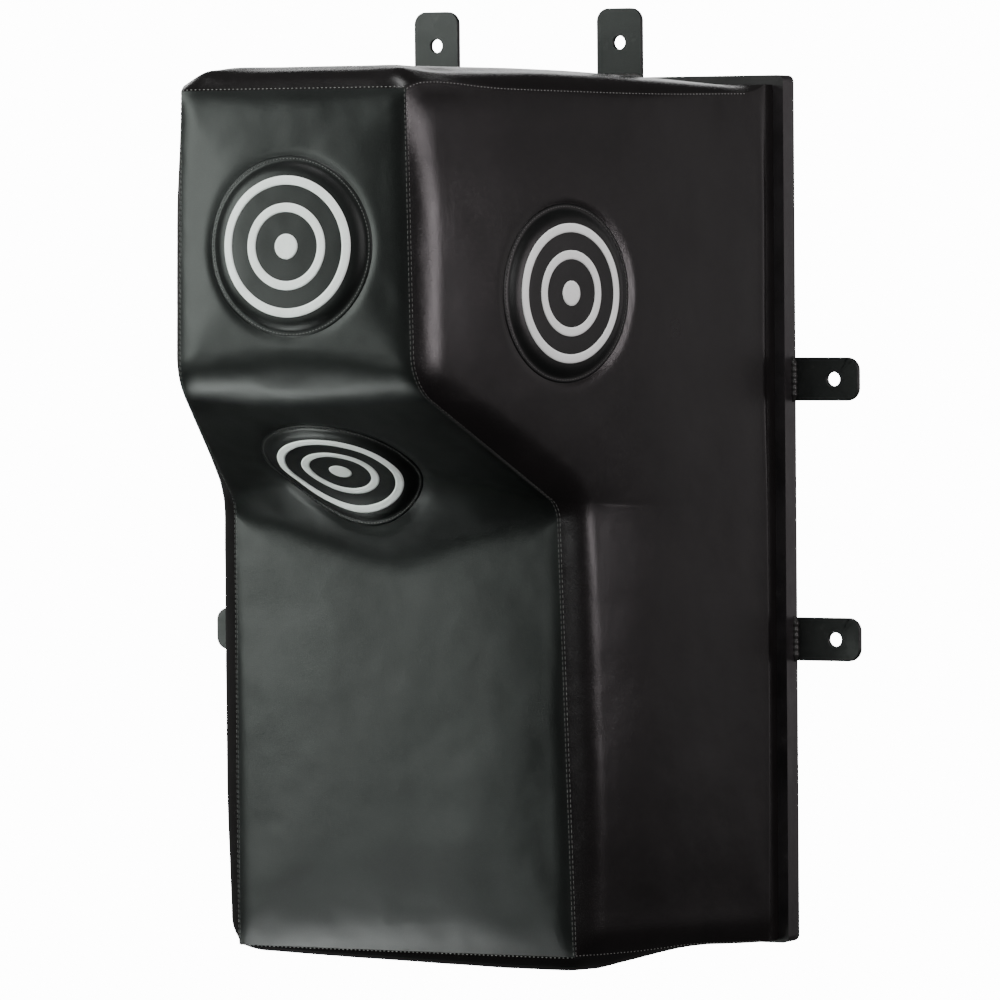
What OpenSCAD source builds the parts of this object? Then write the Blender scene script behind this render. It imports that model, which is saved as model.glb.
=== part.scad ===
// Wall-mounted uppercut pad: a steel angle frame with six wall tabs carries a
// plywood board, and the board carries layered foam under a sewn vinyl cover.
// The wall is the plane y = 0, the pad faces -Y and +Z is up. The origin is
// midway between the four side tab holes, on the wall.

/* [Steel frame] */
// Width of the frame, rim to rim
frame_w = 540; // [500:1:700]
// Height of the frame
frame_h = 800; // [760:1:1000]
// Depth of the rim, from the wall to the front of the flange
frame_depth = 25; // [22:1:40]
// Width of the flange that the board is bolted to
flange_w = 40; // [36:1:60]
// Thickness of the angle steel
steel_t = 4; // [3:0.5:5]
// Radius of the frame's outer corners
corner_r = 6; // [2:0.5:12]

/* [Wall tabs] */
// Thickness of the tab bars
tab_t = 6; // [4:0.5:10]
// How far each tab stands out from the rim
tab_reach = 65; // [45:1:90]
// Width of the four side tabs
side_tab_w = 40; // [30:1:50]
// Width of the two top tabs
top_tab_w = 45; // [30:1:60]
// Corner radius at the free end of a tab
tab_corner_r = 12; // [4:1:14]
// Diameter of the tab holes
tab_hole_d = 13; // [8:0.5:16]
// Distance between the side tabs on one side, hole to hole
side_tab_spacing = 240; // [160:10:400]
// Distance between the top tabs, hole to hole
top_tab_spacing = 190; // [120:10:300]
// Distance from the rim to a side tab's hole
side_hole_reach = 40; // [30:1:44]
// Distance from the rim to a top tab's hole
top_hole_reach = 33; // [28:1:44]
// Leg of the weld fillet at a tab's root
weld_leg = 5; // [3:0.5:8]

/* [Pad outline] */
// Width of the padding at the board
pad_base_w = 520; // [480:1:530]
// Width of the padding at its foremost face
pad_front_w = 228; // [180:1:300]
// Level of the padding's upper end
pad_top_z = 388; // [370:1:392]
// Level of the padding's lower end
pad_bottom_z = -396; // [-398:1:-380]
// Depth of the upper striking face from the wall
upper_depth = 481; // [420:1:520]
// Level where the upper face turns under into the slope
slope_top_z = 123; // [90:1:160]
// Depth of the lower face where it meets the slope
lower_depth = 288; // [250:1:320]
// Level where the slope meets the lower face
slope_bottom_z = 12; // [-20:1:40]
// Depth of the lower face at its bottom edge
heel_depth = 275; // [240:1:300]

/* [Padding layers] */
// Thickness of the vinyl cover
cover_t = 1.5; // [1:0.1:3]
// Width of the cover flaps stapled behind the board
flap_w = 50; // [42:1:70]
// Thickness of the plywood board
board_t = 18; // [12:1:24]
// Thickness of the firm foam under the striking faces
face_foam_t = 40; // [20:1:60]
// Thickness of the soft foam on the sides
side_foam_t = 15; // [8:1:30]
// Thickness of the soft foam on the ends
end_foam_t = 15; // [8:1:30]

/* [Target patches] */
// Diameter of the patches on the front and the sides
patch_d = 160; // [120:1:180]
// Diameter of the patch on the slope
slope_patch_d = 150; // [100:1:160]
// Thickness of a patch
patch_t = 3; // [2:0.5:6]
// Thickness of the white rings sewn on a patch
ring_t = 0.8; // [0.5:0.1:1.5]
// Level of the front patch's centre
front_patch_z = 247; // [220:1:280]
// Level of the side patches' centres
side_patch_z = 203; // [160:1:260]
// Depth of the side patches' centres from the wall
side_patch_depth = 303; // [220:1:340]
// Depth of the slope patch's centre from the wall
slope_patch_depth = 358; // [345:1:400]
// Offset of the slope patch to the left of the middle
slope_patch_shift = 17; // [0:1:30]

/* [Fasteners] */
// Diameter of the bolts that hold the board
bolt_d = 8; // [6:1:10]
// Distance of the side bolts from the middle of the pad
bolt_x = 243; // [240:1:246]
// Distance of the end bolts above and below the middle of the pad
bolt_z = 374; // [370:1:376]
// Spacing of the three bolts down each side
side_bolt_pitch = 300; // [200:10:320]
// Spacing of the two bolts across each end
end_bolt_pitch = 220; // [120:10:300]

/* [Hidden] */
$fn = 64;

// Shares the edges of a cut with the air around it, so that no skin is left
eps = 1;
// Longer than the whole object, for blocks that only cut
big = 2000;

// Depths of the layers between the wall and the foam
board_back = frame_depth + cover_t;
board_front = board_back + board_t;

// Insets from the outer surface of the cover to the face of each layer
foam_front = cover_t + face_foam_t;
foam_side = cover_t + side_foam_t;
foam_end = cover_t + end_foam_t;

// The slope's angle below level, and the sides' angle from straight ahead
slope_angle = atan((slope_top_z - slope_bottom_z) / (upper_depth - lower_depth));
side_angle = atan((pad_base_w - pad_front_w) / 2 / (upper_depth - board_front));

// Level of the slope at a depth, and half the pad's width at a depth
function slope_z(depth) = slope_top_z - (upper_depth - depth) * tan(slope_angle);
function half_width(depth) = pad_base_w / 2 - (depth - board_front) * tan(side_angle);

// The striking faces from top to bottom as [y, z] points, moved in by f
function front_line(f, v) = let (rise = f * (1 - sin(slope_angle)) / cos(slope_angle)) [
    [-(upper_depth - f), pad_top_z - v],
    [-(upper_depth - f), slope_top_z + rise],
    [-(lower_depth - f), slope_bottom_z + rise],
    [-(heel_depth - f), pad_bottom_z + v]
];

// Bolt places on the flange as [x, z]
BOLTS = concat(
    [for (side = [-1, 1], step = [-1, 0, 1]) [side * bolt_x, step * side_bolt_pitch]],
    [for (end = [-1, 1], side = [-1, 1]) [side * end_bolt_pitch / 2, end * bolt_z]]
);
bolt_hole_d = bolt_d + 1;
bolt_head_t = 5.3;
bolt_head_af = 13;
washer_d = 16;
washer_t = 1.6;
tee_barrel_d = bolt_d + 2.5;
tee_flange_d = 20;
tee_flange_t = 1.6;
tee_wall_gap = 0.2;

// Staples stand in a row along the middle of each flap
staple_pitch = 60;
staple_w = 11;
staple_wire = 0.8;
staple_inset = flap_w - 12;

// Radii of the rings as shares of the patch's radius, outside and inside
RINGS = [[0.78, 0.68], [0.48, 0.38], [0.14, 0]];

// ---- placing helpers ----

// A solid between two depths, from an outline drawn in x and z
module slab(near, far) {
    translate([0, -near, 0]) rotate([90, 0, 0]) linear_extrude(far - near) children();
}

// A block right across the pad, from an outline given as [y, z] points
module across(points) {
    rotate([90, 0, 90]) linear_extrude(big, center = true) polygon(points);
}

// Keeps the part of its children on one side: -1 left, 1 right
module on_side(side) {
    intersection() {
        children();
        translate([side * big / 2, 0, 0]) cube(big, center = true);
    }
}

// Puts its children at every bolt, facing forward from the wall
module at_bolts(depth) {
    for (place = BOLTS) translate([place.x, -depth, place.y]) rotate([90, 0, 0]) children();
}

// Moves its children onto a patch's centre, with their +Z out of the pad
module on_front() {
    translate([0, -upper_depth, front_patch_z]) rotate([90, 0, 0]) children();
}
module on_slope() {
    translate([-slope_patch_shift, -slope_patch_depth, slope_z(slope_patch_depth)])
        rotate([180 - slope_angle, 0, 0]) children();
}
module on_right() {
    translate([half_width(side_patch_depth), -side_patch_depth, side_patch_z])
        rotate([0, 90, -side_angle]) children();
}
module on_left() {
    mirror([1, 0, 0]) on_right() children();
}

// ---- steel frame ----

// The frame's outline with rounded corners
module frame_outline() {
    square([frame_w - 2 * corner_r, frame_h], center = true);
    square([frame_w, frame_h - 2 * corner_r], center = true);
    for (x = [-1, 1], z = [-1, 1])
        translate([x * (frame_w / 2 - corner_r), z * (frame_h / 2 - corner_r)]) circle(corner_r);
}

// The whole angle ring: a rim that stands off the wall and a flange in front
module angle_ring() {
    difference() {
        slab(0, frame_depth) frame_outline();
        slab(-eps, frame_depth - steel_t)
            square([frame_w - 2 * steel_t, frame_h - 2 * steel_t], center = true);
        slab(-eps, frame_depth + eps)
            square([frame_w - 2 * flange_w, frame_h - 2 * flange_w], center = true);
        at_bolts(-eps) cylinder(h = frame_depth + 2 * eps, d = bolt_hole_d);
    }
}

// One side of the ring, cut off at 45 degrees where two sides are welded
module mitred(along, across_w, turn) {
    reach = along / 2 + eps;
    inner = across_w / 2 - 2 * flange_w;
    intersection() {
        angle_ring();
        slab(-eps, frame_depth + eps) rotate(turn) polygon([
            [-reach, across_w / 2 + eps], [reach, across_w / 2 + eps],
            [along / 2 - 2 * flange_w, inner], [2 * flange_w - along / 2, inner]
        ]);
    }
}

module frame_top() color("#1b1b1c") mitred(frame_w, frame_h, 0);
module frame_bottom() color("#1b1b1c") mitred(frame_w, frame_h, 180);
module frame_left() color("#1b1b1c") mitred(frame_h, frame_w, 90);
module frame_right() color("#1b1b1c") mitred(frame_h, frame_w, -90);

// ---- wall tabs ----

// A flat bar that stands up from the X axis, with a rounded end and one hole
module tab(bar_w, hole_reach) {
    slab(0, tab_t) difference() {
        union() {
            translate([-bar_w / 2, 0]) square([bar_w, tab_reach - tab_corner_r]);
            translate([tab_corner_r - bar_w / 2, 0]) square([bar_w - 2 * tab_corner_r, tab_reach]);
            for (side = [-1, 1])
                translate([side * (bar_w / 2 - tab_corner_r), tab_reach - tab_corner_r])
                    circle(tab_corner_r);
        }
        translate([0, hole_reach]) circle(d = tab_hole_d);
    }
}

// The fillet of weld between a tab's front and the rim
module tab_weld(bar_w) {
    translate([-bar_w / 2, -tab_t, 0]) rotate([90, 0, 90])
        linear_extrude(bar_w) polygon([[0, 0], [-weld_leg, 0], [0, weld_leg]]);
}

// Where the tabs stand on the rim
module at_top(side) {
    translate([side * top_tab_spacing / 2, 0, frame_h / 2]) children();
}
module at_side(side, level) {
    translate([side * frame_w / 2, 0, level * side_tab_spacing / 2]) rotate([0, side * 90, 0])
        children();
}

module tab_top_left() color("#262728") at_top(-1) tab(top_tab_w, top_hole_reach);
module tab_top_right() color("#262728") at_top(1) tab(top_tab_w, top_hole_reach);
module tab_left_upper() color("#262728") at_side(-1, 1) tab(side_tab_w, side_hole_reach);
module tab_left_lower() color("#262728") at_side(-1, -1) tab(side_tab_w, side_hole_reach);
module tab_right_upper() color("#262728") at_side(1, 1) tab(side_tab_w, side_hole_reach);
module tab_right_lower() color("#262728") at_side(1, -1) tab(side_tab_w, side_hole_reach);

module tab_welds() color("#3a3a3a") {
    for (side = [-1, 1]) {
        at_top(side) tab_weld(top_tab_w);
        for (level = [-1, 1]) at_side(side, level) tab_weld(side_tab_w);
    }
}

// ---- board and its bolts ----

module backing_board() color("#9c7a4e") {
    difference() {
        translate([-pad_base_w / 2 + cover_t, -board_front, pad_bottom_z + cover_t])
            cube([pad_base_w - 2 * cover_t, board_t, pad_top_z - pad_bottom_z - 2 * cover_t]);
        at_bolts(board_back - eps) cylinder(h = board_t + 2 * eps, d = tee_barrel_d);
        at_bolts(board_front - tee_flange_t) cylinder(h = tee_flange_t + eps, d = tee_flange_d);
    }
}

// Hexagon bolts from behind, their heads inside the depth of the rim
module board_bolts() color("#b8b8bc") {
    head_back = frame_depth - steel_t - washer_t;
    at_bolts(head_back - bolt_head_t)
        cylinder(h = bolt_head_t, d = bolt_head_af / cos(30), $fn = 6);
    at_bolts(head_back) cylinder(h = board_front - head_back - tee_flange_t, d = bolt_d);
}

module bolt_washers() color("#a8a8ac") {
    at_bolts(frame_depth - steel_t - washer_t) difference() {
        cylinder(h = washer_t, d = washer_d);
        translate([0, 0, -eps]) cylinder(h = washer_t + 2 * eps, d = bolt_d + 2 * tee_wall_gap);
    }
}

// Tee nuts sunk into the front of the board
module tee_nuts() color("#c0b27a") {
    at_bolts(board_back) difference() {
        union() {
            cylinder(h = board_t, d = tee_barrel_d);
            translate([0, 0, board_t - tee_flange_t]) cylinder(h = tee_flange_t, d = tee_flange_d);
        }
        translate([0, 0, -eps]) cylinder(h = board_t + 2 * eps, d = bolt_d + 2 * tee_wall_gap);
    }
}

// ---- padding ----

// The pad's outline seen from above, moved in by s on both sides
module plan(s) {
    base = pad_base_w / 2 - s;
    front = pad_front_w / 2 - s;
    translate([0, 0, -big / 2]) linear_extrude(big) polygon([
        [-base, 0], [-base, -board_front], [-front, -upper_depth],
        [front, -upper_depth], [base, -board_front], [base, 0]
    ]);
}

// The padding from a depth forward, with its sides moved in by s, its
// striking faces by f and its ends by v
module form(s, f, v, back) {
    intersection() {
        plan(s);
        across(concat([[-back, pad_bottom_z + v], [-back, pad_top_z - v]], front_line(f, v)));
    }
}

// One firm foam sheet behind the n-th striking face, mitred at its corners
module face_foam(n) {
    outer = front_line(cover_t, cover_t);
    inner = front_line(foam_front, cover_t);
    color("#4a4d52") intersection() {
        plan(cover_t);
        across([outer[n], outer[n + 1], inner[n + 1], inner[n]]);
    }
}

module face_foam_upper() face_foam(0);
module face_foam_slope() face_foam(1);
module face_foam_lower() face_foam(2);

module side_foam(side) {
    color("#8c9096") on_side(side) difference() {
        form(cover_t, foam_front, cover_t, board_front);
        form(foam_side, foam_front - eps, 0, board_front - eps);
    }
}
module side_foam_left() side_foam(-1);
module side_foam_right() side_foam(1);

// Soft foam across one end: -1 the bottom, 1 the top
module end_foam(end) {
    color("#8c9096") difference() {
        form(foam_side, foam_front, cover_t, board_front);
        translate([0, 0, -end * foam_end]) form(0, 0, 0, 0);
    }
}
module top_foam() end_foam(1);
module bottom_foam() end_foam(-1);

// The block cut of its ends' foam, on one side of the plane where the
// overhang is glued on: 0 behind it, 1 in front of it
module block(ahead) {
    split = lower_depth - foam_front;
    intersection() {
        form(foam_side, foam_front, foam_end, board_front);
        translate([-big / 2, -split - ahead * big, -big / 2]) cube([big, big, big]);
    }
}
module core_block() color("#b9a27c") block(0);
module overhang_block() color("#a88f68") block(1);

// ---- cover ----

// One strip of vinyl down the upper face, the slope and the lower face
module cover_front() color("#26292a") {
    intersection() {
        plan(0);
        across(concat(front_line(0, 0), [for (n = [3:-1:0]) front_line(cover_t, 0)[n]]));
    }
}

// A flap between two corners [x, z], with holes for the bolts
module flap(low, high) {
    difference() {
        slab(frame_depth, board_back) translate(low) square(high - low);
        at_bolts(frame_depth - eps) cylinder(h = cover_t + 2 * eps, d = bolt_hole_d);
    }
}

module cover_side(side) {
    edge = pad_base_w / 2 - cover_t;
    low = side < 0 ? -edge : edge - flap_w;
    color("#211f1f") {
        on_side(side) difference() {
            form(0, cover_t, 0, frame_depth);
            form(cover_t, 0, -eps, 0);
        }
        flap([low, pad_bottom_z + cover_t], [low + flap_w, pad_top_z - cover_t]);
    }
}
module cover_side_left() cover_side(-1);
module cover_side_right() cover_side(1);

// The panel across one end, with its flap: -1 the bottom, 1 the top
module cover_end(end) {
    edge = end < 0 ? pad_bottom_z + cover_t : pad_top_z - cover_t;
    low = end < 0 ? edge : edge - flap_w;
    half = pad_base_w / 2 - cover_t - flap_w;
    color("#211f1f") {
        difference() {
            form(cover_t, cover_t, 0, frame_depth);
            translate([0, 0, -end * cover_t]) form(0, 0, 0, 0);
        }
        flap([-half, low], [half, low + flap_w]);
    }
}
module cover_top() cover_end(1);
module cover_bottom() cover_end(-1);

// Staples that hold the flaps to the back of the board
module staple(turn) {
    rotate([0, turn, 0]) translate([-staple_w / 2, 0, -staple_wire / 2])
        cube([staple_w, staple_wire, staple_wire]);
}

module flap_staples() color("#c8c8cc") {
    x = pad_base_w / 2 - staple_inset;
    for (side = [-1, 1], step = [-6:6])
        translate([side * x, -frame_depth, step * staple_pitch]) staple(90);
    for (z = [pad_bottom_z + staple_inset, pad_top_z - staple_inset], step = [-3:3])
        translate([step * staple_pitch, -frame_depth, z]) staple(0);
}

// ---- target patches ----

module patch(d) {
    color("#1d2021") cylinder(h = patch_t, d = d);
}
module patch_front() on_front() patch(patch_d);
module patch_slope() on_slope() patch(slope_patch_d);
module patch_left() on_left() patch(patch_d);
module patch_right() on_right() patch(patch_d);

// Two rings and a centre dot of white vinyl
module rings(d) {
    color("#e9e9e6") translate([0, 0, patch_t]) for (ring = RINGS) difference() {
        cylinder(h = ring_t, d = ring[0] * d);
        if (ring[1] > 0) translate([0, 0, -eps]) cylinder(h = ring_t + 2 * eps, d = ring[1] * d);
    }
}
module rings_front() on_front() rings(patch_d);
module rings_slope() on_slope() rings(slope_patch_d);
module rings_left() on_left() rings(patch_d);
module rings_right() on_right() rings(patch_d);

frame_left();
frame_right();
frame_top();
frame_bottom();
tab_top_left();
tab_top_right();
tab_left_upper();
tab_left_lower();
tab_right_upper();
tab_right_lower();
tab_welds();
backing_board();
board_bolts();
bolt_washers();
tee_nuts();
core_block();
overhang_block();
face_foam_upper();
face_foam_slope();
face_foam_lower();
side_foam_left();
side_foam_right();
top_foam();
bottom_foam();
cover_front();
cover_side_left();
cover_side_right();
cover_top();
cover_bottom();
flap_staples();
patch_front();
patch_slope();
patch_left();
patch_right();
rings_front();
rings_slope();
rings_left();
rings_right();
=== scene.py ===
import math

import bpy
import numpy as np
from mathutils import Matrix, Vector, noise
from mathutils.bvhtree import BVHTree


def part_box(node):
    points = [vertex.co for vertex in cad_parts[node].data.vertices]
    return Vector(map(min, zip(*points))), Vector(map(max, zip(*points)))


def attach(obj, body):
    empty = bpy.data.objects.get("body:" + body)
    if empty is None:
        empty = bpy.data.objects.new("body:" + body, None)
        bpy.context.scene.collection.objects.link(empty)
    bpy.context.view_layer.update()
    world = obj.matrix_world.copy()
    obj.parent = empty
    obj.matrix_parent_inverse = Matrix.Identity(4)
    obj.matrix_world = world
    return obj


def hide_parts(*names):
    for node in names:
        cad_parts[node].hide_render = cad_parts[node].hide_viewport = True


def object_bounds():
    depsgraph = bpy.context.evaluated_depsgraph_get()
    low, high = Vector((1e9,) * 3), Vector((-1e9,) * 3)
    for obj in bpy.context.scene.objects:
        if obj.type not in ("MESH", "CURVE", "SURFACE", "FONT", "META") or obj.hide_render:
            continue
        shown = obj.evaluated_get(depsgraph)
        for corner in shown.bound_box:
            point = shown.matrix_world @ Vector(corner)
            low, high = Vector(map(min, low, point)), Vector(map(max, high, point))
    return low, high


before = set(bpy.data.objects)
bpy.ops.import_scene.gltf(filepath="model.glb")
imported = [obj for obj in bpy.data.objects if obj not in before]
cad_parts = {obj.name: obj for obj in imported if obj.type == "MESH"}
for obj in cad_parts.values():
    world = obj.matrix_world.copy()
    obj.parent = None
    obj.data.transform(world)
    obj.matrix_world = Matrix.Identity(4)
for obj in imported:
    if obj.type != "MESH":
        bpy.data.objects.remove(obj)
cad_low, cad_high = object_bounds()

# Looks of a wall-mounted uppercut pad, built around its CAD frame. The wall is
# the plane y = 0, the pad faces -Y and +Z is up. All lengths are in metres.
MM = 0.001

# ---- layout, from the CAD frame ----

COVER = 1.5 * MM
board_low, board_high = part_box("backing_board")
top_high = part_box("cover_top")[1]
bottom_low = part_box("cover_bottom")[0]

# The ring where the cover meets the frame's flange
BASE_HALF = board_high.x + COVER
BASE_DEPTH = -board_high.y
BOARD_FRONT = -board_low.y

# The front profile's corners: upper face, overhang's edge, fold, bottom edge
UPPER_DEPTH = -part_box("cover_front")[0].y
EDGE_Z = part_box("face_foam_upper")[0].z
FOLD_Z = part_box("face_foam_slope")[0].z
FOLD_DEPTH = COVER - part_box("face_foam_lower")[0].y
HEEL_DEPTH = FOLD_DEPTH - 13 * MM

# Levels of the top and bottom seams, at the front and at the frame
TOP_FRONT_Z = top_high.z - 3 * MM
TOP_BACK_Z = top_high.z + 3 * MM
BOTTOM_FRONT_Z = bottom_low.z + 2 * MM
BOTTOM_BACK_Z = bottom_low.z - 1 * MM

# Half the width between the two front seams at each corner of the profile
TOP_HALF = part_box("cover_side_right")[0].x - COVER
EDGE_HALF = TOP_HALF + 4.5 * MM
FOLD_HALF = TOP_HALF + 52 * MM
HEEL_HALF = FOLD_HALF + 7 * MM

# Radii of the profile's two bends, at the seams and midway between them
EDGE_RADIUS = (47 * MM, 58 * MM)
FOLD_RADIUS = (22 * MM, 165 * MM)

# Grid of the cover: rows down each stretch of the front profile, columns from
# a front seam to the frame, and columns between the two front seams
ROWS = (32, 14, 16, 16, 42)
DEEP = 60
WIDE = 36
LAST = sum(ROWS)

# Columns of the cover that lie flat against the edge of the board
STRIP = 4


def mix(a, b, share):
    """The point a share of the way from a to b."""
    return a + (b - a) * share


def spread(count, bunch):
    """Shares from 0 to 1 that lie closer together towards both ends."""
    u = np.linspace(0, 1, count + 1)
    return u - bunch * np.sin(2 * math.pi * u) / (2 * math.pi)


def rise(distance, reach, power=2.4):
    """Rounded climb from 0 at an edge to 1 at a distance of reach."""
    return 1 - (1 - np.clip(distance / reach, 0, 1)) ** power


def ease(value, start, end):
    """Smooth step from 0 at start to 1 at end."""
    share = np.clip((value - start) / (end - start), 0, 1)
    return share * share * (3 - 2 * share)


def bell(value, middle, width):
    """Smooth hump that is 1 at its middle and fades to both sides."""
    return np.exp(-((value - middle) / width) ** 2)


# ---- camera, floor and light ----

# Middle of the pad, which the lights and the floor are set round
PAD_MIDDLE = Vector((0, -0.25, 0))


def add_camera():
    """The photograph's viewpoint: right of the middle and a little above it."""
    azimuth = math.radians(26)
    elevation = math.radians(2.11)
    roll = math.radians(-0.47)
    aim = Vector((62.8, -200, 13.7)) * MM
    distance = 6.8979
    back = Vector((
        math.sin(azimuth) * math.cos(elevation),
        -math.cos(azimuth) * math.cos(elevation),
        math.sin(elevation),
    ))
    level = back.cross(Vector((0, 0, -1))).normalized()
    upright = back.cross(level)
    right = level * math.cos(roll) + upright * math.sin(roll)
    up = upright * math.cos(roll) - level * math.sin(roll)
    data = bpy.data.cameras.new("camera")
    data.lens = 272.4
    data.sensor_width = 36
    data.clip_end = 100
    camera = bpy.data.objects.new("camera", data)
    camera.matrix_world = Matrix((
        (right.x, up.x, back.x, aim.x + back.x * distance),
        (right.y, up.y, back.y, aim.y + back.y * distance),
        (right.z, up.z, back.z, aim.z + back.z * distance),
        (0, 0, 0, 1),
    ))
    bpy.context.collection.objects.link(camera)
    bpy.context.scene.camera = camera


def add_softbox(name, azimuth, elevation, distance, size, watts, tint=(1, 1, 1)):
    """A soft area light that points at the pad. Azimuth 0 is straight ahead."""
    a, e = math.radians(azimuth), math.radians(elevation)
    away = Vector((math.sin(a) * math.cos(e), -math.cos(a) * math.cos(e), math.sin(e)))
    data = bpy.data.lights.new(name, "AREA")
    data.shape = "RECTANGLE"
    data.size, data.size_y = size
    data.energy = watts
    data.color = tint
    light = bpy.data.objects.new(name, data)
    light.location = PAD_MIDDLE + away * distance
    light.rotation_euler = away.to_track_quat("Z", "Y").to_euler()
    light.visible_camera = False
    bpy.context.collection.objects.link(light)
    return light


def narrow(light, angle, target):
    """Narrows a light to an angle in degrees and turns it towards a point."""
    light.data.spread = math.radians(angle)
    light.rotation_euler = (light.location - target).to_track_quat("Z", "Y").to_euler()


def add_lights():
    """Softboxes all round, and two narrow lights for the lower edges of the faces."""
    narrow_x = -0.12
    add_softbox("front_left_softbox", -46, 12, 3.0, (1.4, 1.9), 92, (0.91, 1.0, 0.94))
    add_softbox("front_low_softbox", -27, -9, 3.0, (1.6, 0.8), 22, (0.91, 1.0, 0.94))
    kick = add_softbox("kick_softbox", -44, -48, 1.2, (0.45, 0.2), 0.32, (0.95, 1.0, 0.98))
    narrow(kick, 26, Vector((narrow_x, -HEEL_DEPTH, BOTTOM_FRONT_Z)))
    under = add_softbox("under_softbox", -52, -50, 1.2, (0.4, 0.3), 0.35, (0.93, 1.0, 0.96))
    narrow(under, 30, Vector((narrow_x, -UPPER_DEPTH, EDGE_Z - 10 * MM)))
    add_softbox("right_strip", 93, 6, 2.8, (0.10, 0.85), 27, (1.0, 0.91, 0.94))
    add_softbox("right_softbox", 48, 16, 3.2, (0.9, 1.8), 34)
    add_softbox("rear_right_softbox", 128, 8, 3.2, (1.6, 2.2), 7.5, (1.0, 0.94, 0.95))
    add_softbox("rear_softbox", 150, 6, 3.2, (0.6, 1.8), 3.5, (1.0, 0.93, 0.95))
    add_softbox("overhead_softbox", 10, 72, 2.8, (1.6, 1.2), 60)
    add_softbox("back_softbox", 214, 20, 3.4, (2.6, 0.9), 15)
    add_softbox("left_softbox", 250, 25, 3.2, (1.4, 1.8), 60)


def add_world():
    """White behind the object, and a soft grey surround for everything else."""
    world = bpy.data.worlds.new("studio")
    bpy.context.scene.world = world
    world.use_nodes = True
    nodes, links = world.node_tree.nodes, world.node_tree.links
    nodes.clear()
    output = nodes.new("ShaderNodeOutputWorld")
    blend = nodes.new("ShaderNodeMixShader")
    seen = nodes.new("ShaderNodeLightPath")
    surround = nodes.new("ShaderNodeBackground")
    backdrop = nodes.new("ShaderNodeBackground")
    surround.inputs["Strength"].default_value = 0.06
    backdrop.inputs["Strength"].default_value = 14.0
    for background in (surround, backdrop):
        background.inputs["Color"].default_value = (1, 1, 1, 1)
    links.new(seen.outputs["Is Camera Ray"], blend.inputs[0])
    links.new(surround.outputs[0], blend.inputs[1])
    links.new(backdrop.outputs[0], blend.inputs[2])
    links.new(blend.outputs[0], output.inputs["Surface"])


# ---- materials ----

class Paint:
    """One node material, with short ways to add the nodes it is made of."""

    def __init__(self, name, colour, roughness, metallic=0.0, specular=0.5):
        self.material = bpy.data.materials.new(name)
        self.material.use_nodes = True
        self.material.diffuse_color = (*colour, 1)
        self.nodes = self.material.node_tree.nodes
        self.links = self.material.node_tree.links
        self.shader = self.nodes["Principled BSDF"]
        self.set("Base Color", (*colour, 1))
        self.set("Roughness", roughness)
        self.set("Metallic", metallic)
        self.set("Specular IOR Level", specular)
        self.place = self.nodes.new("ShaderNodeTexCoord").outputs["Object"]
        self.relief = None

    def set(self, socket, value):
        self.shader.inputs[socket].default_value = value

    def link(self, output, socket):
        self.links.new(output, self.shader.inputs[socket])

    def stretched(self, scale, turn=(0, 0, 0)):
        """Coordinates for a texture that is longer one way than another."""
        mapping = self.nodes.new("ShaderNodeMapping")
        mapping.inputs["Scale"].default_value = scale
        mapping.inputs["Rotation"].default_value = turn
        self.links.new(self.place, mapping.inputs["Vector"])
        return mapping.outputs["Vector"]

    def noise(self, scale, detail=3.0, rough=0.5, at=None):
        node = self.nodes.new("ShaderNodeTexNoise")
        node.inputs["Scale"].default_value = scale
        node.inputs["Detail"].default_value = detail
        node.inputs["Roughness"].default_value = rough
        self.links.new(at or self.place, node.inputs["Vector"])
        return node.outputs["Fac"]

    def cells(self, scale):
        node = self.nodes.new("ShaderNodeTexVoronoi")
        node.feature = "DISTANCE_TO_EDGE"
        node.inputs["Scale"].default_value = scale
        self.links.new(self.place, node.inputs["Vector"])
        return node.outputs["Distance"]

    def ramp(self, value, stops):
        """Maps a value through (place, colour) stops."""
        node = self.nodes.new("ShaderNodeValToRGB")
        points = node.color_ramp.elements
        while len(points) < len(stops):
            points.new(1.0)
        for point, (place, colour) in zip(points, stops):
            point.position = place
            point.color = (*colour, 1)
        self.links.new(value, node.inputs["Fac"])
        return node.outputs["Color"]

    def span(self, value, low, high, start=0.35, end=0.65):
        """Maps a value that lies mostly from start to end onto low to high."""
        node = self.nodes.new("ShaderNodeMapRange")
        node.inputs["From Min"].default_value = start
        node.inputs["From Max"].default_value = end
        node.inputs["To Min"].default_value = low
        node.inputs["To Max"].default_value = high
        self.links.new(value, node.inputs["Value"])
        return node.outputs["Result"]

    def blend(self, share, first, second):
        """Mixes two colours by a share."""
        node = self.nodes.new("ShaderNodeMix")
        node.data_type = "RGBA"
        self.links.new(share, node.inputs["Factor"])
        for socket, value in zip((node.inputs[6], node.inputs[7]), (first, second)):
            if isinstance(value, tuple):
                socket.default_value = (*value, 1)
            else:
                self.links.new(value, socket)
        return node.outputs[2]

    def bump(self, height, distance, strength=1.0):
        """Adds a height to the relief, over what is already there."""
        node = self.nodes.new("ShaderNodeBump")
        node.inputs["Distance"].default_value = distance
        node.inputs["Strength"].default_value = strength
        self.links.new(height, node.inputs["Height"])
        if self.relief:
            self.links.new(self.relief, node.inputs["Normal"])
        self.relief = node.outputs["Normal"]
        self.link(self.relief, "Normal")


def mix_colour(a, b):
    """The colour halfway between two."""
    return tuple((x + y) / 2 for x, y in zip(a, b))


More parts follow.
